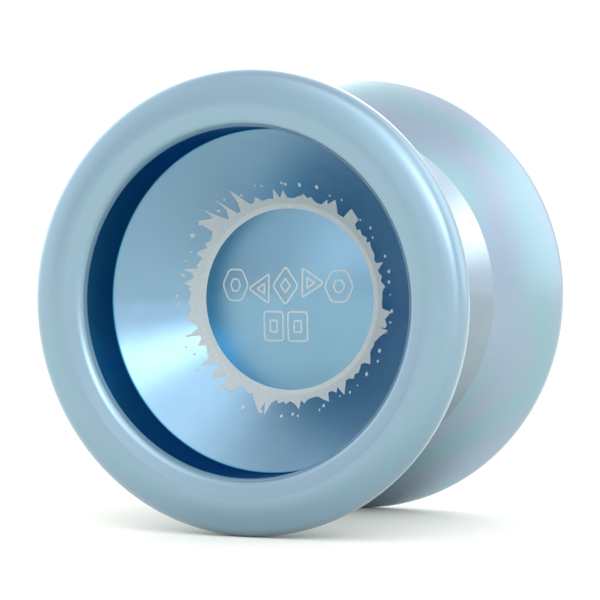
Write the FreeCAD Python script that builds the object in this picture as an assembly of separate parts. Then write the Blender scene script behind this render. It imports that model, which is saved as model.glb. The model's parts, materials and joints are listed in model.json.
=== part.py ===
"""A full-size metal yo-yo: two turned aluminium halves on a threaded axle, with a ball bearing between.

The spin axis is Y, the origin is the centre of the yo-yo, +Z is up, and the front half is on the -Y side.
Every turned piece is drawn as a half outline of (radius, depth), where depth is the distance from the
middle plane between the halves, and is then revolved about the Y axis. All sizes are in millimetres.
"""
import os

import FreeCAD
import Part

from math import atan2, cos, degrees, pi, radians, sin, tan

# Outer shape of a half
RIM_RADIUS = 28.0            # the widest circle
RIM_DEPTH = 18.09            # where the rim is widest
FACE_DEPTH = 20.46           # the flat ring on the rim's outer face
FACE_OUTER_RADIUS = 24.0     # where the flat ring starts to fall towards the rim
CORNER_RADIUS = 2.0          # the round from the face over to the rim
RIM_UNDER_RADIUS = 1.8       # the round from the rim towards the flank
FLANK_END_ANGLE = 64.0       # the flank's steepness where it meets the rim, from radial
CREASE_RADIUS = 21.75        # the turned edge between the flank and the catch zone
CREASE_DEPTH = 9.13
CATCH_ANGLE = 31.2           # steepness of the conical catch zone, from radial

# Cup in the outer face
CUP_RADIUS = 20.98           # the straight side wall
CUP_CORNER_RADIUS = 0.35     # between the wall and the dished floor
FACE_INNER_RADIUS = 23.3     # about which the face starts to lean into the cup
FACE_LEAN = 14.0             # degrees of that lean
LEAN_RADIUS = 3.0            # the soft bend there
LIP_DROP = 1.62              # from the face down to the wall, by the lean and the lip's round
DISH_OUTER = (20.89, 11.74)
DISH_INNER = (11.85, 5.32)   # also the outer edge of the narrow land round the hub
HUB_EDGE = (11.2, 5.20)      # where the land meets the domed hub
HUB_RISE = 1.2               # height of the dome in the middle

# String gap
STRING_GAP = 4.4
GAP_EDGE_RADIUS = 1.5        # the round from the gap face to the catch zone
PAD_INNER_RADIUS = 7.95
PAD_OUTER_RADIUS = 9.55
PAD_THICKNESS = 0.95
PAD_EDGE_ROUND = 0.15
PAD_GROOVE_DEPTH = 1.0
PAD_SIDE_GAP = 0.05

# Bearing, of the quarter by half by three-sixteenths inch size
BEARING_BORE = 6.35
BEARING_OUTSIDE = 12.7
BEARING_WIDTH = 4.7625
BALL_COUNT = 10
BALL_RADIUS = 0.79375
PITCH_RADIUS = 4.7625
BALL_PLAY = 0.02             # between a ball and the bottom of each groove
GROOVE_RADIUS = 0.84         # the ball groove's own round
INNER_SHOULDER = 4.25
OUTER_SHOULDER = 5.27
RACE_CHAMFER = 0.2
STRING_SEAT_DEPTH = 0.25     # how far the outer race is hollowed for the string
STRING_SEAT_LAND = 0.45      # the flat left at each end of it

# Cage, shields and snap rings of the bearing
CAGE_INNER = 4.42
CAGE_OUTER = 5.10
CAGE_WIDTH = 2.2
POCKET_PLAY = 0.03
SHIELD_SEAT_RADIUS = 5.62
SHIELD_SEAT_DEPTH = 1.78
SHIELD_THICKNESS = 0.20
SHIELD_PLAY = 0.08           # between a shield and the inner race
SHIELD_FIT = 0.02            # between a shield and its seat
SNAP_GROOVE_RADIUS = 5.80
SNAP_RING_INNER = 5.32
SNAP_RING_OUTER = 5.77
SNAP_RING_WIDTH = 0.24
SNAP_RING_OPENING = 24.0     # degrees left open in the ring

# Hub of a half, which carries the bearing and the axle
POST_PLAY = 0.01             # between the post and the bearing's bore
POST_SHORT = 0.3             # how far the post stops before the middle plane
POST_CHAMFER = 0.25
SHOULDER_RADIUS = 4.05       # the ring that the inner race rests on
RELIEF_RADIUS = 6.75
RELIEF_DEPTH = 0.3           # below the shoulder, so that only the inner race touches
AXLE_RADIUS = 2.0
AXLE_LENGTH = 10.0
AXLE_CHAMFER = 0.4
AXLE_BORE_SPARE = 0.4        # beyond the end of the axle
HEX_ACROSS = 2.0
HEX_DEPTH = 2.2

FRONT = -1                   # the side of the middle plane that a piece is on
BACK = 1
SIDES = {"front": FRONT, "back": BACK}

SPIN_AXIS = FreeCAD.Vector(0, 1, 0)
CENTRE = FreeCAD.Vector(0, 0, 0)


def arc(centre, radius, start, end):
    """Start, middle and end of an arc in an outline, with its angles in degrees."""
    angles = [radians(a) for a in (start, (start + end) / 2, end)]
    return [(centre[0] + radius * cos(a), centre[1] + radius * sin(a)) for a in angles]


def arc_through(start, end, end_angle):
    """An arc from start to end that runs at end_angle where it ends."""
    run = (end[0] - start[0], end[1] - start[1])
    normal = (-sin(radians(end_angle)), cos(radians(end_angle)))
    radius = -(run[0] ** 2 + run[1] ** 2) / (2 * (run[0] * normal[0] + run[1] * normal[1]))
    centre = (end[0] + radius * normal[0], end[1] + radius * normal[1])
    angles = [degrees(atan2(p[1] - centre[1], p[0] - centre[0])) for p in (start, end)]
    return arc(centre, radius, *angles)


def turned(items, side=BACK):
    """Revolve a closed outline of corners and arcs about the spin axis."""
    def place(point):
        return FreeCAD.Vector(point[0], side * point[1], 0)

    items = [item if isinstance(item, list) else [item] for item in items]
    edges = []
    for item, following in zip(items, items[1:] + items[:1]):
        if len(item) == 3:
            edges.append(Part.Arc(*[place(p) for p in item]).toShape())
        start = place(item[-1])
        end = place(following[0])
        if start.distanceToPoint(end) > 1e-6:
            edges.append(Part.LineSegment(start, end).toShape())
    solid = Part.Face(Part.Wire(edges)).revolve(CENTRE, SPIN_AXIS, 360)
    return solid if solid.Volume > 0 else solid.reversed()


def both_ways(items):
    """Add to half an outline, drawn from depth 0 outwards, its mirror image in the middle plane."""
    def mirrored(item):
        points = item if isinstance(item, list) else [item]
        points = [(radius, -depth) for radius, depth in reversed(points)]
        return points if len(points) > 1 else points[0]

    return [mirrored(item) for item in reversed(items)] + items


def cup_outline():
    """The outer side of a half, from the middle of the hub out to the flat face."""
    dome_radius = (HUB_EDGE[0] ** 2 + HUB_RISE ** 2) / (2 * HUB_RISE)
    dome_centre = (0, HUB_EDGE[1] + HUB_RISE - dome_radius)
    dome_tilt = degrees(atan2(HUB_EDGE[0], dome_radius - HUB_RISE))
    dish_angle = degrees(atan2(DISH_OUTER[1] - DISH_INNER[1], DISH_OUTER[0] - DISH_INNER[0]))
    wall_foot = DISH_OUTER[1] + (CUP_RADIUS - DISH_OUTER[0]) * tan(radians(dish_angle))
    corner_reach = CUP_CORNER_RADIUS * tan(radians(45 - dish_angle / 2))
    corner_centre = (CUP_RADIUS - CUP_CORNER_RADIUS, wall_foot + corner_reach)
    lean = radians(FACE_LEAN)
    lip_run = LIP_DROP - (FACE_INNER_RADIUS - CUP_RADIUS) * tan(lean)
    lip_radius = lip_run / (cos(lean) - (1 - sin(lean)) * tan(lean))
    lip_centre = (CUP_RADIUS + lip_radius, FACE_DEPTH - LIP_DROP)
    bend_centre = (FACE_INNER_RADIUS + LEAN_RADIUS * tan(lean / 2), FACE_DEPTH - LEAN_RADIUS)
    return [
        arc(dome_centre, dome_radius, 90, 90 - dome_tilt),
        DISH_INNER,
        arc(corner_centre, CUP_CORNER_RADIUS, dish_angle - 90, 0),
        arc(lip_centre, lip_radius, 180, 90 + FACE_LEAN),
        arc(bend_centre, LEAN_RADIUS, 90 + FACE_LEAN, 90),
    ]


def rim_outline():
    """The face, rim and flank, from the flat ring round to the crease."""
    corner_centre = (RIM_RADIUS - CORNER_RADIUS, RIM_DEPTH)
    across = corner_centre[0] - FACE_OUTER_RADIUS
    down = FACE_DEPTH - RIM_DEPTH
    crown_radius = (across ** 2 + down ** 2 - CORNER_RADIUS ** 2) / (2 * (down - CORNER_RADIUS))
    crown_centre = (FACE_OUTER_RADIUS, FACE_DEPTH - crown_radius)
    crown_end = degrees(atan2(corner_centre[1] - crown_centre[1], across))
    under_centre = (RIM_RADIUS - RIM_UNDER_RADIUS, RIM_DEPTH)
    under = arc(under_centre, RIM_UNDER_RADIUS, 0, FLANK_END_ANGLE - 90)
    flank = arc_through((CREASE_RADIUS, CREASE_DEPTH), under[-1], FLANK_END_ANGLE)
    return [
        arc(crown_centre, crown_radius, 90, crown_end),
        arc(corner_centre, CORNER_RADIUS, crown_end, 0),
        under,
        flank[::-1],
    ]


def gap_outline():
    """The string side, from the catch zone in to the bearing's post and the axle's bore."""
    gap = STRING_GAP / 2
    cone_foot = CREASE_RADIUS - (CREASE_DEPTH - gap) / tan(radians(CATCH_ANGLE))
    reach = GAP_EDGE_RADIUS * tan(radians(CATCH_ANGLE / 2))
    edge_centre = (cone_foot - reach, gap + GAP_EDGE_RADIUS)
    groove_outer = PAD_OUTER_RADIUS + PAD_SIDE_GAP
    groove_inner = PAD_INNER_RADIUS - PAD_SIDE_GAP
    groove_floor = gap + PAD_GROOVE_DEPTH
    shoulder = BEARING_WIDTH / 2
    relief = shoulder + RELIEF_DEPTH
    post = BEARING_BORE / 2 - POST_PLAY
    bore_end = AXLE_LENGTH / 2 + AXLE_BORE_SPARE
    return [
        arc(edge_centre, GAP_EDGE_RADIUS, CATCH_ANGLE - 90, -90),
        (groove_outer, gap),
        (groove_outer, groove_floor),
        (groove_inner, groove_floor),
        (groove_inner, gap),
        (RELIEF_RADIUS, gap),
        (RELIEF_RADIUS, relief),
        (SHOULDER_RADIUS, relief),
        (SHOULDER_RADIUS, shoulder),
        (post, shoulder),
        (post, POST_SHORT + POST_CHAMFER),
        (post - POST_CHAMFER, POST_SHORT),
        (AXLE_RADIUS, POST_SHORT),
        (AXLE_RADIUS, bore_end),
        (0, bore_end),
    ]


def half(side):
    """One half, turned from a single bar."""
    return turned(cup_outline() + rim_outline() + gap_outline(), side)


def response_pad(side):
    """The soft ring that grips the string, in its groove."""
    floor = STRING_GAP / 2 + PAD_GROOVE_DEPTH
    top = floor - PAD_THICKNESS
    inner = (PAD_INNER_RADIUS + PAD_EDGE_ROUND, top + PAD_EDGE_ROUND)
    outer = (PAD_OUTER_RADIUS - PAD_EDGE_ROUND, top + PAD_EDGE_ROUND)
    return turned([
        (PAD_INNER_RADIUS, floor),
        (PAD_OUTER_RADIUS, floor),
        arc(outer, PAD_EDGE_ROUND, 0, -90),
        arc(inner, PAD_EDGE_ROUND, 270, 180),
    ], side)


def axle():
    """The threaded stud that joins the halves, with a hex socket in its front end."""
    end = AXLE_LENGTH / 2
    stud = turned(both_ways([
        (AXLE_RADIUS, end - AXLE_CHAMFER),
        (AXLE_RADIUS - AXLE_CHAMFER, end),
        (0, end),
    ]))
    corner = HEX_ACROSS / 2 / cos(pi / 6)
    points = []
    for turn in range(7):
        angle = turn * pi / 3
        points.append(FreeCAD.Vector(corner * cos(angle), -end, corner * sin(angle)))
    socket = Part.Face(Part.makePolygon(points)).extrude(FreeCAD.Vector(0, HEX_DEPTH, 0))
    return stud.cut(socket)


def groove_half_width(bottom, shoulder):
    """Half the width of a ball groove where it breaks out at a race's shoulder."""
    return (GROOVE_RADIUS ** 2 - (GROOVE_RADIUS - abs(shoulder - bottom)) ** 2) ** 0.5


def ball_groove(bottom, shoulder):
    """The half of a ball groove from its bottom, on the middle plane, to its edge."""
    outward = 1 if shoulder > bottom else -1
    centre = (bottom + outward * GROOVE_RADIUS, 0)
    reach = degrees(atan2(groove_half_width(bottom, shoulder), GROOVE_RADIUS - abs(shoulder - bottom)))
    if outward > 0:
        return arc(centre, GROOVE_RADIUS, 180, 180 - reach)
    return arc(centre, GROOVE_RADIUS, 0, reach)


def inner_race():
    """The ring on the posts, with the balls' groove round its outside."""
    bore = BEARING_BORE / 2
    end = BEARING_WIDTH / 2
    bottom = PITCH_RADIUS - BALL_RADIUS - BALL_PLAY
    groove = ball_groove(bottom, INNER_SHOULDER)
    outside = both_ways([
        groove,
        (INNER_SHOULDER, end - RACE_CHAMFER / 2),
        (INNER_SHOULDER - RACE_CHAMFER / 2, end),
        (bore + RACE_CHAMFER, end),
        (bore, end - RACE_CHAMFER),
    ])
    return turned(joined(outside))


def joined(items):
    """Make one arc of the two that meet on the middle plane."""
    middle = len(items) // 2
    before = items[middle - 1]
    after = items[middle]
    return items[:middle - 1] + [[before[0], before[-1], after[-1]]] + items[middle + 1:]


def outer_race():
    """The ring that the string runs on, with seats for a shield and a snap ring in each end."""
    outside = BEARING_OUTSIDE / 2
    end = BEARING_WIDTH / 2
    bottom = PITCH_RADIUS + BALL_RADIUS + BALL_PLAY
    snap_start = SHIELD_SEAT_DEPTH + SHIELD_THICKNESS
    snap_end = snap_start + SNAP_RING_WIDTH
    inside = both_ways([
        ball_groove(bottom, OUTER_SHOULDER),
        (OUTER_SHOULDER, SHIELD_SEAT_DEPTH),
        (SHIELD_SEAT_RADIUS, SHIELD_SEAT_DEPTH),
        (SHIELD_SEAT_RADIUS, snap_start),
        (SNAP_GROOVE_RADIUS, snap_start),
        (SNAP_GROOVE_RADIUS, snap_end),
        (SHIELD_SEAT_RADIUS, snap_end),
        (SHIELD_SEAT_RADIUS, end),
        (outside - RACE_CHAMFER, end),
        (outside, end - RACE_CHAMFER),
        (outside, end - RACE_CHAMFER - STRING_SEAT_LAND),
    ])
    string_seat = [(outside - STRING_SEAT_DEPTH, 0)]
    return turned(close_with_arc(joined(inside), string_seat[0]))


def close_with_arc(items, middle):
    """Close an outline with an arc from its last point, through a middle one, to its first."""
    return items[1:-1] + [[items[-1], middle, items[0]]]


def cage():
    """The ring that spaces the balls, with a round pocket for each."""
    end = CAGE_WIDTH / 2
    ring = turned([(CAGE_INNER, -end), (CAGE_OUTER, -end), (CAGE_OUTER, end), (CAGE_INNER, end)])
    pockets = []
    for place in ball_places():
        pockets.append(Part.makeCylinder(BALL_RADIUS + POCKET_PLAY, OUTER_SHOULDER, CENTRE, place))
    return ring.cut(pockets)


def ball_places():
    """The middle of each ball, the first one straight up."""
    places = []
    for number in range(BALL_COUNT):
        angle = 2 * pi * number / BALL_COUNT
        places.append(FreeCAD.Vector(PITCH_RADIUS * sin(angle), 0, PITCH_RADIUS * cos(angle)))
    return places


def shield(side):
    """The thin washer that keeps dirt out of the bearing."""
    near = SHIELD_SEAT_DEPTH
    far = near + SHIELD_THICKNESS
    inner = INNER_SHOULDER + SHIELD_PLAY
    outer = SHIELD_SEAT_RADIUS - SHIELD_FIT
    return turned([(inner, near), (outer, near), (outer, far), (inner, far)], side)


def snap_ring(side):
    """The open spring ring that holds a shield in, with its opening at the bottom."""
    near = SHIELD_SEAT_DEPTH + SHIELD_THICKNESS
    far = near + SNAP_RING_WIDTH
    corners = [(SNAP_RING_INNER, near), (SNAP_RING_OUTER, near), (SNAP_RING_OUTER, far),
               (SNAP_RING_INNER, far)]
    ring = turned(corners, side)
    half_width = SNAP_RING_OUTER * tan(radians(SNAP_RING_OPENING / 2))
    corner = FreeCAD.Vector(-half_width, -BEARING_WIDTH, -2 * SNAP_RING_OUTER)
    opening = Part.makeBox(2 * half_width, 2 * BEARING_WIDTH, 2 * SNAP_RING_OUTER, corner)
    return ring.cut(opening)


def pieces():
    """Every separate piece, by the name of its node."""
    found = {
        "axle": axle(),
        "bearing_inner_race": inner_race(),
        "bearing_outer_race": outer_race(),
        "bearing_cage": cage(),
    }
    for name, side in SIDES.items():
        found[name + "_half"] = half(side)
        found["response_pad_" + name] = response_pad(side)
        found["bearing_shield_" + name] = shield(side)
        found["bearing_snap_ring_" + name] = snap_ring(side)
    for number, place in enumerate(ball_places(), start=1):
        found["ball_%d" % number] = Part.makeSphere(BALL_RADIUS, place)
    return found


def main():
    os.makedirs("parts", exist_ok=True)
    for name, shape in pieces().items():
        solid = shape.Solids[0] if shape.Solids else shape
        if len(shape.Solids) != 1 or not solid.isValid():
            raise ValueError("%s isn't one sound solid" % name)
        solid.exportStep("parts/%s.step" % name)
        print("%-24s %9.2f mm3" % (name, solid.Volume))


main()
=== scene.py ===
"""The finished look of a full-size metal yo-yo, laid out as an add-on.

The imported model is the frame: metres, spin axis along Y, front half on the -Y side, +Z up. The two halves are
turned again here as finer meshes, the hub's etching is laid on them, and the bearing, axle and pads keep
their shape and get their finish.
"""

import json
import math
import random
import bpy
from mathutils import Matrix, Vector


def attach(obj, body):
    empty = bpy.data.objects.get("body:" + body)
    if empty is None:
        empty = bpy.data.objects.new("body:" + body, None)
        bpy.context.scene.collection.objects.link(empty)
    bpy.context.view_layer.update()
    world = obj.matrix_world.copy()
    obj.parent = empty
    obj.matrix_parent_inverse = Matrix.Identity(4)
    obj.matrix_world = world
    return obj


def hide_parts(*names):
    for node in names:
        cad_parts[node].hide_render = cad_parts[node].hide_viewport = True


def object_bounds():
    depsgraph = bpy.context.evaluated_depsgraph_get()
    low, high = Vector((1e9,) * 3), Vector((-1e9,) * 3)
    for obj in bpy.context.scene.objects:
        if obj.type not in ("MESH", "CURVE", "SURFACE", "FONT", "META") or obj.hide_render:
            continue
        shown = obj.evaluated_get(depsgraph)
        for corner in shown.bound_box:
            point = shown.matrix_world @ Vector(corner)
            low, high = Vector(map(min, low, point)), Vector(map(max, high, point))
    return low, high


bl_info = {
    "name": "Metal yo-yo",
    "version": (1, 0, 0),
    "blender": (4, 5, 0),
    "location": "3D View > Sidebar > Yo-yo",
    "description": "Turns, etches and finishes a full-size metal yo-yo, and sets its studio",
    "category": "Object",
}

import bpy
from bpy.props import FloatProperty, FloatVectorProperty, IntProperty, PointerProperty
from mathutils import Vector

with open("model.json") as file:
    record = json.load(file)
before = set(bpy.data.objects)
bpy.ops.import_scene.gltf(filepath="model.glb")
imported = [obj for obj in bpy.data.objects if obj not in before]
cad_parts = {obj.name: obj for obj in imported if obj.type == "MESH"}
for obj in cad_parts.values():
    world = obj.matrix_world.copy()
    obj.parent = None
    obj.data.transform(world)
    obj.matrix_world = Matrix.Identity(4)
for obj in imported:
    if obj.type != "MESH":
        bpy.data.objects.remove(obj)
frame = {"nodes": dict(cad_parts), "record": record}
CAD_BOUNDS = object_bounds()

MM = 0.001
FRONT = -1
BACK = 1
SIDES = {"front": FRONT, "back": BACK}
SPIN_BODY = "yoyo"

# The turned outline of a half, in millimetres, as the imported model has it
RIM_RADIUS = 28.0
RIM_DEPTH = 18.09
FACE_DEPTH = 20.46
FACE_OUTER_RADIUS = 24.0
CORNER_RADIUS = 2.0
RIM_UNDER_RADIUS = 1.8
FLANK_END_ANGLE = 64.0
CREASE_RADIUS = 21.75
CREASE_DEPTH = 9.13
CATCH_ANGLE = 31.2
CUP_RADIUS = 20.98
CUP_CORNER_RADIUS = 0.35
FACE_INNER_RADIUS = 23.3
FACE_LEAN = 14.0
LEAN_RADIUS = 3.0
LIP_DROP = 1.62
DISH_OUTER = (20.89, 11.74)
DISH_INNER = (11.85, 5.32)
HUB_EDGE = (11.2, 5.20)
HUB_RISE = 1.2
GAP = 2.2
GAP_EDGE_RADIUS = 1.5
PAD_GROOVE = (7.9, 9.6, 3.2)
RELIEF = (6.75, 2.68125)
SHOULDER = (4.05, 2.38125)
POST_RADIUS = 3.165
POST_END = 0.3
POST_CHAMFER = 0.25
AXLE_BORE = (2.0, 5.4)
GAP_FACE_RADIUS = CREASE_RADIUS - (CREASE_DEPTH - GAP) / math.tan(math.radians(CATCH_ANGLE))

TURNED_STEPS = 288           # facets round a turned piece
ARC_STEP = 4.0               # degrees between points on a turned round
DOME_POINTS = 12             # points from the hub's middle to its edge
SAME_POINT = 0.0005 * MM     # points nearer than this are merged
SMOOTH_BELOW = 8.0           # degrees: sharper edges stay crisp

LIP_REACH = 0.3              # width of the lip's own finish, in millimetres
DYE_AND_SHADE_REACH = 25.0             # radius at the end of the colour scale, painted wall shade included, in millimetres
CATCH_MARGIN = 0.3           # faces this near the catch zone's line belong to it, in millimetres

# Which finish a face of a half has
RIM, FLANK, CUP, CATCH, LIP = range(5)


def linear(code):
    """A hex sRGB colour as linear red, green, blue and alpha."""
    values = [int(code[i:i + 2], 16) / 255 for i in (1, 3, 5)]
    return [v / 12.92 if v <= 0.04045 else ((v + 0.055) / 1.055) ** 2.4 for v in values] + [1.0]


# ---------------------------------------------------------------- settings

class YoyoEtching(bpy.types.PropertyGroup):
    """Sizes of the marks etched round and on the hub."""

    line_width: FloatProperty(
        name="Line width", description="Width of an etched outline", default=0.23 * MM,
        min=0.0, unit="LENGTH", precision=5)
    lift: FloatProperty(
        name="Lift", description="How far the etched skin stands off the metal", default=0.006 * MM,
        min=0.0, unit="LENGTH", precision=6)
    thickness: FloatProperty(
        name="Thickness", description="Thickness of the etched skin", default=0.012 * MM,
        min=0.0, unit="LENGTH", precision=6)
    band_radius: FloatProperty(
        name="Band radius", description="Outer radius of the unbroken band", default=12.5 * MM,
        min=0.0, unit="LENGTH", precision=5)
    ray_length: FloatProperty(
        name="Ray length", description="Length of the longest rays", default=1.65 * MM,
        min=0.0, unit="LENGTH", precision=5)
    steps: IntProperty(name="Band steps", description="Points round the band", default=168, min=36)
    dots: IntProperty(name="Dots", description="Loose dots beyond the rays", default=52, min=0)


class YoyoFinish(bpy.types.PropertyGroup):
    """Colours and gloss of the metal."""

    shell: FloatVectorProperty(
        name="Shell", description="Anodised colour of the halves", subtype="COLOR", size=4,
        default=linear("#7796A9"), min=0.0, max=1.0)
    cup: FloatVectorProperty(
        name="Cup", description="Anodised colour of the turned cup", subtype="COLOR", size=4,
        default=linear("#7796AD"), min=0.0, max=1.0)
    hub: FloatVectorProperty(
        name="Hub", description="Anodised colour of the domed hub", subtype="COLOR", size=4,
        default=linear("#7498AF"), min=0.0, max=1.0)
    # painted shade: the cup's steep wall gets this darker, bluer colour to stand in for the shade deep in the
    # cup
    wall: FloatVectorProperty(
        name="Cup wall", description="Anodised colour of the cup's steep wall", subtype="COLOR", size=4,
        default=linear("#438FAB"), min=0.0, max=1.0)
    catch: FloatVectorProperty(
        name="Catch zone", description="Anodised colour of the gap and inner catch zone", subtype="COLOR",
        size=4, default=linear("#8294A1"), min=0.0, max=1.0)
    catch_edge: FloatVectorProperty(
        name="Catch zone edge", description="Anodised colour of the catch zone near the crease",
        subtype="COLOR", size=4, default=linear("#8E9BA6"), min=0.0, max=1.0)
    shell_roughness: FloatProperty(
        name="Shell roughness", description="Roughness of the satin rim and flank", default=0.33,
        min=0.0, max=1.0)
    cup_roughness: FloatProperty(
        name="Cup roughness", description="Roughness of the turned cup", default=0.20,
        min=0.0, max=1.0)
    etching: FloatVectorProperty(
        name="Etching", description="Colour of the laser-etched marks", subtype="COLOR", size=4,
        default=linear("#B9C0C2"), min=0.0, max=1.0)


class YoyoStudio(bpy.types.PropertyGroup):
    """Camera and light."""

    azimuth: FloatProperty(
        name="Azimuth", description="Camera's turn round the yo-yo from its front",
        subtype="ANGLE", default=math.radians(22.39))
    elevation: FloatProperty(
        name="Elevation", description="Camera's angle above the horizon",
        subtype="ANGLE", default=math.radians(1.94))
    distance: FloatProperty(
        name="Distance", description="Camera to the yo-yo's centre", default=0.370, unit="LENGTH")
    lens: FloatProperty(
        name="Lens", description="Focal length in millimetres on a 36 mm sensor", default=177.5)


# ---------------------------------------------------------------- modelling helpers

def alone(obj):
    """Select one object only and make it active."""
    if bpy.context.mode != "OBJECT":
        bpy.ops.object.mode_set(mode="OBJECT")
    bpy.ops.object.select_all(action="DESELECT")
    obj.select_set(True)
    bpy.context.view_layer.objects.active = obj


def named(name):
    """The object that an operator has just added, renamed."""
    obj = bpy.context.active_object
    obj.name = name
    obj.data.name = name
    return obj


def editing(obj):
    """Open an object for editing with everything selected."""
    alone(obj)
    bpy.ops.object.mode_set(mode="EDIT")
    bpy.ops.mesh.select_all(action="SELECT")


def settle(obj):
    """Put an object's place into its mesh, and leave the object at the origin."""
    alone(obj)
    bpy.ops.object.transform_apply(location=True, rotation=True, scale=True)


def apply(obj, kind, **settings):
    """Add a modifier and apply it."""
    alone(obj)
    modifier = obj.modifiers.new(kind.title(), kind)
    for key, value in settings.items():
        setattr(modifier, key, value)
    bpy.ops.object.modifier_apply(modifier=modifier.name)


def arc(centre, radius, start, end):
    """Points along an arc of an outline, with its angles in degrees."""
    count = max(2, math.ceil(abs(end - start) / ARC_STEP))
    points = []
    for step in range(count + 1):
        angle = math.radians(start + (end - start) * step / count)
        points.append((centre[0] + radius * math.cos(angle), centre[1] + radius * math.sin(angle)))
    return points


def arc_through(start, end, end_angle):
    """An arc from start to end that runs at end_angle where it ends."""
    run = (end[0] - start[0], end[1] - start[1])
    normal = (-math.sin(math.radians(end_angle)), math.cos(math.radians(end_angle)))
    radius = -(run[0] ** 2 + run[1] ** 2) / (2 * (run[0] * normal[0] + run[1] * normal[1]))
    centre = (end[0] + radius * normal[0], end[1] + radius * normal[1])
    angles = [math.degrees(math.atan2(p[1] - centre[1], p[0] - centre[0])) for p in (start, end)]
    return arc(centre, radius, *angles)


def turned(name, outline, side):
    """Draw an outline of (radius, depth) point by point, and spin it about the yo-yo's axis."""
    points = [Vector((radius * MM, side * depth * MM, 0)) for radius, depth in outline]
    bpy.ops.object.select_all(action="DESELECT")
    bpy.ops.mesh.primitive_plane_add(size=MM, location=points[0])
    obj = named(name)
    settle(obj)
    editing(obj)
    bpy.ops.mesh.merge(type="CENTER")
    for before, after in zip(points, points[1:]):
        bpy.ops.mesh.extrude_region_move(TRANSFORM_OT_translate={"value": after - before})
    bpy.ops.mesh.select_all(action="SELECT")
    bpy.ops.mesh.spin(steps=TURNED_STEPS, angle=math.tau, use_auto_merge=True,
                      center=(0, 0, 0), axis=(0, 1, 0))
    bpy.ops.mesh.select_all(action="SELECT")
    bpy.ops.mesh.remove_doubles(threshold=SAME_POINT)
    bpy.ops.mesh.select_all(action="SELECT")
    bpy.ops.mesh.normals_make_consistent(inside=False)
    bpy.ops.object.mode_set(mode="OBJECT")
    bpy.ops.object.shade_smooth_by_angle(angle=math.radians(SMOOTH_BELOW))
    return obj


# ---------------------------------------------------------------- outlines

def cup_outline():
    """The outer side of a half, from the middle of the hub through the dish and wall to the flat face."""
    dome_radius = (HUB_EDGE[0] ** 2 + HUB_RISE ** 2) / (2 * HUB_RISE)
    dome_centre = (0, HUB_EDGE[1] + HUB_RISE - dome_radius)
    dome_tilt = math.degrees(math.atan2(HUB_EDGE[0], dome_radius - HUB_RISE))
    dish_angle = math.degrees(math.atan2(DISH_OUTER[1] - DISH_INNER[1], DISH_OUTER[0] - DISH_INNER[0]))
    wall_foot = DISH_OUTER[1] + (CUP_RADIUS - DISH_OUTER[0]) * math.tan(math.radians(dish_angle))
    corner_reach = CUP_CORNER_RADIUS * math.tan(math.radians(45 - dish_angle / 2))
    corner_centre = (CUP_RADIUS - CUP_CORNER_RADIUS, wall_foot + corner_reach)
    lean = math.radians(FACE_LEAN)
    lip_run = LIP_DROP - (FACE_INNER_RADIUS - CUP_RADIUS) * math.tan(lean)
    lip_radius = lip_run / (math.cos(lean) - (1 - math.sin(lean)) * math.tan(lean))
    lip_centre = (CUP_RADIUS + lip_radius, FACE_DEPTH - LIP_DROP)
    bend_centre = (FACE_INNER_RADIUS + LEAN_RADIUS * math.tan(lean / 2), FACE_DEPTH - LEAN_RADIUS)
    tilts = [math.radians(dome_tilt * step / DOME_POINTS) for step in range(DOME_POINTS + 1)]
    dome = [(dome_radius * math.sin(tilt), dome_centre[1] + dome_radius * math.cos(tilt)) for tilt in tilts]
    return (dome
            + [DISH_INNER]
            + arc(corner_centre, CUP_CORNER_RADIUS, dish_angle - 90, 0)
            + arc(lip_centre, lip_radius, 180, 90 + FACE_LEAN)
            + arc(bend_centre, LEAN_RADIUS, 90 + FACE_LEAN, 90))


def rim_outline():
    """The face, rim and flank, from the flat ring round to the crease."""
    corner_centre = (RIM_RADIUS - CORNER_RADIUS, RIM_DEPTH)
    across = corner_centre[0] - FACE_OUTER_RADIUS
    down = FACE_DEPTH - RIM_DEPTH
    crown_radius = (across ** 2 + down ** 2 - CORNER_RADIUS ** 2) / (2 * (down - CORNER_RADIUS))
    crown_centre = (FACE_OUTER_RADIUS, FACE_DEPTH - crown_radius)
    crown_end = math.degrees(math.atan2(corner_centre[1] - crown_centre[1], across))
    under_centre = (RIM_RADIUS - RIM_UNDER_RADIUS, RIM_DEPTH)
    under = arc(under_centre, RIM_UNDER_RADIUS, 0, FLANK_END_ANGLE - 90)
    flank = arc_through((CREASE_RADIUS, CREASE_DEPTH), under[-1], FLANK_END_ANGLE)
    return (arc(crown_centre, crown_radius, 90, crown_end)
            + arc(corner_centre, CORNER_RADIUS, crown_end, 0)[1:]
            + under[1:]
            + flank[::-1][1:])


def gap_outline():
    """The string side, from the catch zone in to the bearing's post and the axle's bore."""
    reach = GAP_EDGE_RADIUS * math.tan(math.radians(CATCH_ANGLE / 2))
    edge_centre = (GAP_FACE_RADIUS - reach, GAP + GAP_EDGE_RADIUS)
    inner, outer, floor = PAD_GROOVE
    return (arc(edge_centre, GAP_EDGE_RADIUS, CATCH_ANGLE - 90, -90)
            + [(outer, GAP), (outer, floor), (inner, floor), (inner, GAP),
               (RELIEF[0], GAP), RELIEF, (SHOULDER[0], RELIEF[1]), SHOULDER,
               (POST_RADIUS, SHOULDER[1]), (POST_RADIUS, POST_END + POST_CHAMFER),
               (POST_RADIUS - POST_CHAMFER, POST_END), (AXLE_BORE[0], POST_END), AXLE_BORE,
               (0, AXLE_BORE[1])])


# ---------------------------------------------------------------- materials

def add_node(tree, kind, inputs=(), **settings):
    """Add a node with its settings, and set or link its inputs."""
    made = tree.nodes.new(kind)
    for key, value in settings.items():
        setattr(made, key, value)
    for key, value in dict(inputs).items():
        if isinstance(value, bpy.types.NodeSocket):
            tree.links.new(value, made.inputs[key])
        else:
            made.inputs[key].default_value = value
    return made


def blank_material(name):
    """A material with an empty node tree."""
    material = bpy.data.materials.new(name)
    material.use_nodes = True
    material.node_tree.nodes.clear()
    return material, material.node_tree


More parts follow.
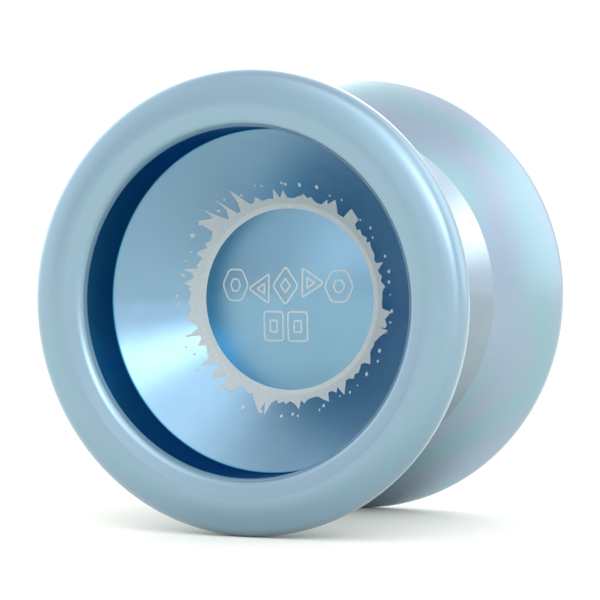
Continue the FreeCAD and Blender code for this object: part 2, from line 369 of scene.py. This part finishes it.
def finish_material(tree, surface):
    """Send a shader to the material's output."""
    add_node(tree, "ShaderNodeOutputMaterial", {"Surface": surface.outputs[0]})


def pearl_anodised_aluminium(finish, name, tint, metallic=1.0):
    """Bead-blasted and anodised: an even pale blue sheen under a glossy film.

    The film shows faint pink and green bands about 5 mm apart. `tint` is their strength.
    """
    material, tree = blank_material(name)
    place = add_node(tree, "ShaderNodeTexCoord").outputs["Object"]
    bands = add_node(tree, "ShaderNodeTexWave", {
        "Vector": place, "Scale": 62.0, "Distortion": 6.0, "Detail": 1.0, "Detail Scale": 0.9},
        wave_type="RINGS", rings_direction="Y", wave_profile="SIN")
    film = add_node(tree, "ShaderNodeValToRGB", {"Fac": bands.outputs["Fac"]})
    film.color_ramp.elements[0].color = linear("#7FA9A4")
    film.color_ramp.elements[1].color = linear("#A39DB4")
    shade = add_node(tree, "ShaderNodeMix", {
        "Factor": tint, "A": finish.shell, "B": film.outputs["Color"]}, data_type="RGBA")
    # grain of the blasted surface, about 0.2 mm
    grain = add_node(tree, "ShaderNodeTexNoise", {"Vector": place, "Scale": 5200.0, "Detail": 2.0})
    bump = add_node(tree, "ShaderNodeBump", {
        "Strength": 0.05, "Distance": 0.02 * MM, "Height": grain.outputs["Fac"]})
    shader = add_node(tree, "ShaderNodeBsdfPrincipled", {
        "Base Color": shade.outputs[2], "Metallic": metallic, "Roughness": finish.shell_roughness,
        "Coat Weight": 1.0, "Coat Roughness": 0.10, "Coat IOR": 1.6, "Normal": bump.outputs["Normal"]})
    finish_material(tree, shader)
    return material


def turned_anodised_aluminium(finish, name, shades, edge, anisotropy, lines):
    """Turned, then anodised: fine rings that drag each highlight out into a radial streak.

    The colour changes with radius, as `shades` pairs them in millimetres, and drifts a little in patches.
    On the cup, the darker colour at the wall is painted shade of the deep cup; the rest is the anodised
    colour. `edge` tints what the metal reflects at a slant, and `lines` is how strongly the rings show.
    """
    material, tree = blank_material(name)
    place = add_node(tree, "ShaderNodeTexCoord").outputs["Object"]
    flat = add_node(tree, "ShaderNodeVectorMath", {0: place, 1: (1, 0, 1)}, operation="MULTIPLY")
    radius = add_node(tree, "ShaderNodeVectorMath", {0: flat.outputs[0]}, operation="LENGTH")
    share = add_node(tree, "ShaderNodeMapRange", {
        "Value": radius.outputs["Value"], "From Max": DYE_AND_SHADE_REACH * MM})
    # colour by radius: anodised colour, with painted shade at the cup's wall
    dye_and_shade = add_node(tree, "ShaderNodeValToRGB", {"Fac": share.outputs[0]})
    stops = dye_and_shade.color_ramp.elements
    for number, (at, colour) in enumerate(shades):
        stop = stops[number] if number < 2 else stops.new(at / DYE_AND_SHADE_REACH)
        stop.position = at / DYE_AND_SHADE_REACH
        stop.color = colour
    # patches about 3 mm across
    patches = add_node(tree, "ShaderNodeTexNoise", {"Vector": place, "Scale": 340.0, "Detail": 2.0})
    drift = add_node(tree, "ShaderNodeMapRange", {
        "Value": patches.outputs["Fac"], "From Min": 0.35, "From Max": 0.65, "To Max": 0.08})
    shade = add_node(tree, "ShaderNodeMix", {
        "Factor": drift.outputs[0], "A": dye_and_shade.outputs["Color"], "B": linear("#55829F")}, data_type="RGBA")
    gloss = add_node(tree, "ShaderNodeMapRange", {
        "Value": patches.outputs["Fac"], "From Min": 0.3, "From Max": 0.7,
        "To Min": finish.cup_roughness * 0.95, "To Max": finish.cup_roughness * 1.05})
    # feed lines, drawn at 0.3 mm so that they show
    rings = add_node(tree, "ShaderNodeTexWave", {
        "Vector": place, "Scale": 1050.0, "Distortion": 0.6, "Detail": 2.0},
        wave_type="RINGS", rings_direction="Y", wave_profile="SIN")
    bump = add_node(tree, "ShaderNodeBump", {
        "Strength": lines, "Distance": 0.01 * MM, "Height": rings.outputs["Fac"]})
    around = add_node(tree, "ShaderNodeTangent", direction_type="RADIAL", axis="Y")
    shader = add_node(tree, "ShaderNodeBsdfPrincipled", {
        "Base Color": shade.outputs[2], "Metallic": 1.0, "Roughness": gloss.outputs[0],
        "Specular Tint": linear(edge), "Anisotropic": anisotropy, "Anisotropic Rotation": 0.25,
        "Normal": bump.outputs["Normal"], "Tangent": around.outputs["Tangent"]})
    finish_material(tree, shader)
    return material


def laser_etched_aluminium(finish):
    """Laser etching burns the dye off and frosts the metal: an even chalky grey-white."""
    material, tree = blank_material("laser_etched_aluminium")
    place = add_node(tree, "ShaderNodeTexCoord").outputs["Object"]
    speckle = add_node(tree, "ShaderNodeTexNoise", {"Vector": place, "Scale": 3000.0, "Detail": 3.0})
    shade = add_node(tree, "ShaderNodeMix", {
        "Factor": speckle.outputs["Fac"], "A": finish.etching, "B": linear("#A3ABAE")}, data_type="RGBA")
    shader = add_node(tree, "ShaderNodeBsdfPrincipled", {
        "Base Color": shade.outputs[2], "Metallic": 0.25, "Roughness": 0.62})
    finish_material(tree, shader)
    return material


def worked_material(name, colours, roughness, grain_scale, depth, metallic):
    """Metal or plastic with a fine grain, which varies its colour and its gloss a little."""
    material, tree = blank_material(name)
    place = add_node(tree, "ShaderNodeTexCoord").outputs["Object"]
    grain = add_node(tree, "ShaderNodeTexNoise", {"Vector": place, "Scale": grain_scale, "Detail": 3.0})
    shade = add_node(tree, "ShaderNodeMix", {
        "Factor": grain.outputs["Fac"], "A": linear(colours[0]), "B": linear(colours[1])}, data_type="RGBA")
    gloss = add_node(tree, "ShaderNodeMapRange", {
        "Value": grain.outputs["Fac"], "From Min": 0.3, "From Max": 0.7,
        "To Min": roughness * 0.85, "To Max": roughness * 1.2})
    bump = add_node(tree, "ShaderNodeBump", {
        "Strength": 0.2, "Distance": depth * MM, "Height": grain.outputs["Fac"]})
    shader = add_node(tree, "ShaderNodeBsdfPrincipled", {
        "Base Color": shade.outputs[2], "Metallic": metallic, "Roughness": gloss.outputs[0],
        "Normal": bump.outputs["Normal"]})
    finish_material(tree, shader)
    return material


def paint(obj, material):
    """Give a whole object one material."""
    obj.data.materials.clear()
    obj.data.materials.append(material)


# ---------------------------------------------------------------- operators

class YOYO_OT_halves(bpy.types.Operator):
    """Turn both halves as fine meshes and give each zone its finish"""

    bl_idname = "yoyo.halves"
    bl_label = "Turn the halves"

    def execute(self, context):
        finish = context.scene.yoyo_finish
        # the last stop, at the cup's wall, is painted shade of the deep cup
        cup_shades = ((0, finish.hub), (HUB_EDGE[0], finish.hub), (DISH_INNER[0], finish.cup),
                      (CUP_RADIUS - 0.3, finish.cup), (CUP_RADIUS - 0.03, finish.wall))
        catch_shades = ((GAP_FACE_RADIUS, finish.catch), (CREASE_RADIUS, finish.catch_edge))
        zones = {RIM: pearl_anodised_aluminium(finish, "pearl_anodised_rim", tint=0.07),
                 FLANK: pearl_anodised_aluminium(finish, "pearl_anodised_flank", tint=0.3),
                 CUP: turned_anodised_aluminium(
                     finish, "turned_anodised_cup", cup_shades, "#009CDA", anisotropy=0.8, lines=0.05),
                 CATCH: turned_anodised_aluminium(
                     finish, "turned_anodised_catch_zone", catch_shades, "#D3DEE6",
                     anisotropy=0.6, lines=0.3),
                 # the film is thin on this edge, so it looks paler
                 LIP: pearl_anodised_aluminium(finish, "pearl_anodised_lip", tint=0.07, metallic=0.45)}
        outline = cup_outline() + rim_outline() + gap_outline()
        for name, side in SIDES.items():
            half = turned("shell_" + name, outline, side)
            for zone in sorted(zones):
                half.data.materials.append(zones[zone])
            for face in half.data.polygons:
                radius = math.hypot(face.center.x, face.center.z) / MM
                depth = side * face.center.y / MM
                face.material_index = zone_of(radius, depth)
            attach(half, SPIN_BODY)
            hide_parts(name + "_half")
        return {"FINISHED"}


def zone_of(radius, depth):
    """Which finish belongs at a radius and a depth, in millimetres. The gap goes with the catch zone."""
    catch_line = GAP + (radius - GAP_FACE_RADIUS) * math.tan(math.radians(CATCH_ANGLE))
    if radius < CREASE_RADIUS and depth < max(GAP, catch_line) + CATCH_MARGIN:
        return CATCH
    if radius < CUP_RADIUS + 0.01 and depth < FACE_DEPTH - LIP_DROP:
        return CUP
    if radius < CUP_RADIUS + LIP_REACH:
        return LIP
    if depth < RIM_DEPTH:
        return FLANK
    return RIM


class YOYO_OT_etching(bpy.types.Operator):
    """Etch the ray band round the hub and the signs on it, front and back"""

    bl_idname = "yoyo.etching"
    bl_label = "Etch the hub"

    def execute(self, context):
        etching = context.scene.yoyo_etching
        frosted = laser_etched_aluminium(context.scene.yoyo_finish)
        shell = bpy.data.objects["shell_front"]
        for front in (etched_band(etching), etched_signs(etching)):
            lay_on(front, shell, etching)
            paint(front, frosted)
            alone(front)
            bpy.ops.object.duplicate(linked=False)
            back = named(front.name.replace("front", "back"))
            back.rotation_euler = (0, 0, math.pi)
            settle(back)
            for piece in (front, back):
                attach(piece, SPIN_BODY)
        return {"FINISHED"}


BAND_SEED = 7
NO_RAY = 0.38                # share of the band's points with almost no ray
LONG_RAY = 0.78              # above this, a point has a long ray


def push_out(centre, factor):
    """Scale what is selected about a centre, in the plane of the face."""
    bpy.ops.transform.resize(value=(factor, 1, factor), center_override=centre)


def select_points(mesh, chosen):
    """Select only the points that a test chooses, in edit mode."""
    bpy.ops.mesh.select_all(action="DESELECT")
    bpy.ops.object.mode_set(mode="OBJECT")
    for point in mesh.vertices:
        point.select = chosen(point)
    bpy.ops.object.mode_set(mode="EDIT")


def etched_band(etching):
    """A ring on the hub's narrow land, with rays of uneven length round it and loose dots beyond."""
    chance = random.Random(BAND_SEED)
    bpy.ops.object.select_all(action="DESELECT")
    plane = -FACE_DEPTH * MM
    radius = (HUB_EDGE[0] + 0.02) * MM
    bpy.ops.mesh.primitive_circle_add(
        vertices=etching.steps, radius=radius, location=(0, plane, 0), rotation=(math.pi / 2, 0, 0))
    band = named("etched_band_front")
    settle(band)
    editing(band)
    for wider in (DISH_INNER[0] * MM, etching.band_radius):
        bpy.ops.mesh.extrude_edges_move()
        push_out((0, plane, 0), wider / radius)
        radius = wider
    for place in range(etching.steps):
        kind = chance.random()
        share = chance.uniform(0.0, 0.1) if kind < NO_RAY else chance.uniform(0.15, 0.5)
        if kind > LONG_RAY:
            share = chance.uniform(0.55, 1.0)
        middle = math.tau * place / etching.steps
        half_turn = math.pi / etching.steps

        def on_ray(point):
            turn = math.atan2(point.co.z, point.co.x) - middle
            turn = (turn + math.pi) % math.tau - math.pi
            return abs(turn) < half_turn and math.hypot(point.co.x, point.co.z) > etching.band_radius * 0.999

        select_points(band.data, on_ray)
        push_out((0, plane, 0), 1 + share * etching.ray_length / etching.band_radius)
        slip = chance.uniform(-0.45, 0.45) * share
        bpy.ops.transform.rotate(value=slip * 6 * half_turn, orient_axis="Y", center_override=(0, 0, 0))
    bpy.ops.object.mode_set(mode="OBJECT")
    parts = [band]
    for number in range(etching.dots):
        turn = math.tau * (number + chance.uniform(0.1, 0.9)) / etching.dots
        out = etching.band_radius + etching.ray_length * chance.uniform(0.75, 1.25)
        bpy.ops.object.select_all(action="DESELECT")
        bpy.ops.mesh.primitive_circle_add(
            vertices=12, radius=chance.uniform(0.1, 0.26) * MM, fill_type="NGON",
            location=(out * math.cos(turn), plane, out * math.sin(turn)), rotation=(math.pi / 2, 0, 0))
        dot = named("dot")
        settle(dot)
        parts.append(dot)
    return joined(parts)


def joined(parts):
    """Join pieces into the first one."""
    bpy.ops.object.select_all(action="DESELECT")
    for part in parts:
        part.select_set(True)
    bpy.context.view_layer.objects.active = parts[0]
    bpy.ops.object.join()
    return parts[0]


# Outlined signs on the hub: corners, width, height, place across, place up, turn in degrees
SIGNS = (
    (6, 3.9, 4.7, -6.9, 1.7, 30),
    (3, 4.1, 4.7, -3.15, 1.3, 90),
    (4, 3.7, 5.1, 0.0, 1.7, 0),
    (3, 4.1, 4.7, 3.15, 2.1, 270),
    (6, 3.9, 4.7, 6.9, 1.7, 30),
    (4, 3.9, 5.4, -1.6, -3.3, 45),
    (4, 3.9, 5.4, 1.6, -3.3, 45),
)


def etched_signs(etching):
    """Plain outlined shapes in two rows, each with a smaller one inside it."""
    parts = []
    for corners, width, height, across, up, turn in SIGNS:
        for share in (1.0, 0.42):
            bpy.ops.object.select_all(action="DESELECT")
            bpy.ops.mesh.primitive_circle_add(
                vertices=corners, radius=0.5 * MM, fill_type="NGON", location=(0, -FACE_DEPTH * MM, 0),
                rotation=(math.pi / 2, 0, 0))
            sign = named("sign")
            settle(sign)
            editing(sign)
            bpy.ops.transform.rotate(value=math.radians(turn), orient_axis="Y", center_override=(0, 0, 0))
            bpy.ops.transform.resize(
                value=(width * share, 1, height * share), center_override=(0, 0, 0))
            bpy.ops.mesh.bevel(offset=0.5 * share * MM, segments=4, affect="VERTICES")
            bpy.ops.mesh.select_all(action="SELECT")
            bpy.ops.transform.translate(value=(across * MM, 0, up * MM))
            bpy.ops.mesh.inset(thickness=etching.line_width)
            bpy.ops.mesh.delete(type="FACE")
            bpy.ops.mesh.select_all(action="SELECT")
            bpy.ops.mesh.subdivide(number_cuts=3)
            bpy.ops.object.mode_set(mode="OBJECT")
            parts.append(sign)
    signs = joined(parts)
    signs.name = signs.data.name = "etched_signs_front"
    return signs


def lay_on(sheet, shell, etching):
    """Press a flat sheet back onto the cup, and give it its thickness."""
    apply(sheet, "SHRINKWRAP", target=shell, wrap_method="PROJECT", wrap_mode="ABOVE_SURFACE",
          use_project_y=True, use_positive_direction=True, use_negative_direction=False,
          offset=etching.lift)
    editing(sheet)
    bpy.ops.mesh.normals_make_consistent(inside=False)
    bpy.ops.object.mode_set(mode="OBJECT")
    for face in sheet.data.polygons:
        face.select = face.normal.y > 0
    bpy.ops.object.mode_set(mode="EDIT")
    bpy.ops.mesh.select_mode(type="FACE")
    bpy.ops.mesh.flip_normals()
    bpy.ops.mesh.select_mode(type="VERT")
    bpy.ops.object.mode_set(mode="OBJECT")
    apply(sheet, "SOLIDIFY", thickness=etching.thickness, offset=1.0)


class YOYO_OT_inner_parts(bpy.types.Operator):
    """Give the bearing, axle and response pads their finish"""

    bl_idname = "yoyo.inner_parts"
    bl_label = "Finish the inner parts"

    def execute(self, context):
        # races and balls: ground fine, so they mirror the room
        ground = worked_material("ground_bearing_steel", ("#CED0D3", "#BBBDC1"), 0.14, 4000.0, 0.004, 1.0)
        # pressed sheet, duller than the races
        stamped = worked_material("stamped_stainless_steel", ("#BBBDC0", "#A4A6AA"), 0.34, 2500.0, 0.006, 1.0)
        # turned bar, greyer still
        stud = worked_material("stainless_stud", ("#A3A4A7", "#8C8D91"), 0.28, 2500.0, 0.006, 1.0)
        # cream, with a low sheen
        nylon = worked_material("moulded_nylon", ("#DDD4BF", "#CFC5AD"), 0.45, 2000.0, 0.02, 0.0)
        # milky white and nearly matt
        silicone = worked_material("response_silicone", ("#E2E5E5", "#D2D6D7"), 0.55, 3000.0, 0.02, 0.0)
        finishes = {"bearing_steel": ground, "shield_steel": stamped, "axle_steel": stud,
                    "cage_nylon": nylon, "response_silicone": silicone}
        for part in frame["record"]["subparts"]:
            material = finishes.get(part["material_slot"])
            if material:
                paint(frame["nodes"][part["node"]], material)
        return {"FINISHED"}


class YOYO_OT_stage(bpy.types.Operator):
    """Set the floor, the soft light and the camera"""

    bl_idname = "yoyo.stage"
    bl_label = "Set the studio"

    def execute(self, context):
        studio = context.scene.yoyo_studio
        low, high = CAD_BOUNDS
        bpy.ops.object.select_all(action="DESELECT")
        bpy.ops.mesh.primitive_plane_add(size=FLOOR_SIZE, location=(0, 0, low.z))
        floor = named("studio_floor")
        material, tree = blank_material("pale_floor")
        shader = add_node(tree, "ShaderNodeBsdfPrincipled", {
            "Base Color": linear("#E6E8E2"), "Roughness": 0.9, "Specular IOR Level": 0.0})
        finish_material(tree, shader)
        paint(floor, material)
        settle(floor)
        light_world()
        a, e = studio.azimuth, studio.elevation
        back = Vector((math.sin(a) * math.cos(e), -math.cos(a) * math.cos(e), math.sin(e)))
        bpy.ops.object.camera_add(location=(low + high) / 2 + back * studio.distance)
        camera = bpy.context.active_object
        camera.name = "studio_camera"
        camera.rotation_mode = "QUATERNION"
        camera.rotation_quaternion = (-back).to_track_quat("-Z", "Y")
        camera.data.lens = studio.lens
        camera.data.sensor_width = 36.0
        camera.data.shift_x, camera.data.shift_y = CAMERA_SHIFT
        camera.data.clip_start = 0.01
        camera.data.clip_end = 50.0
        context.scene.camera = camera
        context.scene.view_settings.view_transform = "Standard"
        return {"FINISHED"}


# Soft boxes round the object: azimuth, elevation, half width, half height and soft edge in degrees,
# and strength
SOFT_BOXES = (
    (33, 24, 20, 9, 8, 2.7),        # key, front right
    (26, 48, 26, 16, 18, 1.25),     # its spill overhead
    (44, 2, 18, 24, 14, 0.65),      # white card under it
    (-8, 11, 7, 7, 10, 0.75),       # edge of the key's diffuser
    (180, 60, 50, 16, 18, 0.3),     # overhead, behind
    (112, 26, 26, 28, 18, 1.1),     # right bank
    (-75, 14, 28, 28, 20, 0.45),    # left bank
    (-38, 4, 8, 8, 12, -0.3),       # the dark gap where a camera stands
    (205, 30, 30, 12, 12, 1.2),     # back key
    (-130, 28, 34, 20, 18, 1.3),    # fill, behind left
)
ROOM = 1.2                   # light of the even room between them
CAMERA_SHIFT = (-0.0086, -0.0035)
FLOOR_SIZE = 12.0            # metres


def soft_box(tree, way, azimuth, elevation, half_width, half_height, edge, strength):
    """Light of one soft-edged box as seen along each direction."""
    a, e = math.radians(azimuth), math.radians(elevation)
    ahead = Vector((math.sin(a) * math.cos(e), -math.cos(a) * math.cos(e), math.sin(e)))
    aside = Vector((math.cos(a), math.sin(a), 0))
    above = ahead.cross(aside)
    along, across, up = [
        add_node(tree, "ShaderNodeVectorMath", {0: way, 1: axis}, operation="DOT_PRODUCT").outputs["Value"]
        for axis in (ahead, aside, above)]
    turn = add_node(tree, "ShaderNodeMath", {0: across, 1: along}, operation="ARCTAN2")
    rise = add_node(tree, "ShaderNodeMath", {0: up}, operation="ARCSINE")
    light = strength
    for angle, half in ((turn, half_width), (rise, half_height)):
        size = add_node(tree, "ShaderNodeMath", {0: angle.outputs[0]}, operation="ABSOLUTE")
        fade = add_node(tree, "ShaderNodeMapRange", {
            "Value": size.outputs[0], "From Min": math.radians(half - edge),
            "From Max": math.radians(half + edge), "To Min": 1.0, "To Max": 0.0},
            interpolation_type="SMOOTHSTEP")
        dimmed = add_node(tree, "ShaderNodeMath", {0: light, 1: fade.outputs[0]}, operation="MULTIPLY")
        light = dimmed.outputs[0]
    return light


def light_world():
    """A bright, even room with soft boxes."""
    world = bpy.data.worlds.new("studio_light")
    bpy.context.scene.world = world
    world.use_nodes = True
    tree = world.node_tree
    tree.nodes.clear()
    way = add_node(tree, "ShaderNodeTexCoord").outputs["Generated"]
    total = ROOM
    for box in SOFT_BOXES:
        light = soft_box(tree, way, *box)
        total = add_node(tree, "ShaderNodeMath", {0: total, 1: light}, operation="ADD").outputs[0]
    shader = add_node(tree, "ShaderNodeBackground", {"Color": (1.0, 1.0, 1.0, 1.0), "Strength": total})
    add_node(tree, "ShaderNodeOutputWorld", {"Surface": shader.outputs[0]})


class YOYO_PT_panel(bpy.types.Panel):
    """Sidebar list of the yo-yo's operators and settings"""

    bl_idname = "YOYO_PT_panel"
    bl_label = "Metal yo-yo"
    bl_space_type = "VIEW_3D"
    bl_region_type = "UI"
    bl_category = "Yo-yo"

    def draw(self, context):
        for operator in OPERATORS:
            self.layout.operator(operator.bl_idname)
        for group in (context.scene.yoyo_etching, context.scene.yoyo_finish, context.scene.yoyo_studio):
            box = self.layout.box()
            for key in group.bl_rna.properties.keys():
                if key not in {"rna_type", "name"}:
                    box.prop(group, key)


SETTINGS = {"yoyo_etching": YoyoEtching, "yoyo_finish": YoyoFinish, "yoyo_studio": YoyoStudio}
OPERATORS = (YOYO_OT_halves, YOYO_OT_etching, YOYO_OT_inner_parts, YOYO_OT_stage)


def register():
    for name, group in SETTINGS.items():
        bpy.utils.register_class(group)
        setattr(bpy.types.Scene, name, PointerProperty(type=group))
    for operator in OPERATORS:
        bpy.utils.register_class(operator)
    bpy.utils.register_class(YOYO_PT_panel)


def unregister():
    bpy.utils.unregister_class(YOYO_PT_panel)
    for operator in reversed(OPERATORS):
        bpy.utils.unregister_class(operator)
    for name, group in SETTINGS.items():
        delattr(bpy.types.Scene, name)
        bpy.utils.unregister_class(group)


def main():
    register()
    bpy.ops.yoyo.halves()
    bpy.ops.yoyo.etching()
    bpy.ops.yoyo.inner_parts()
    bpy.ops.yoyo.stage()


if __name__ == "__main__":
    main()
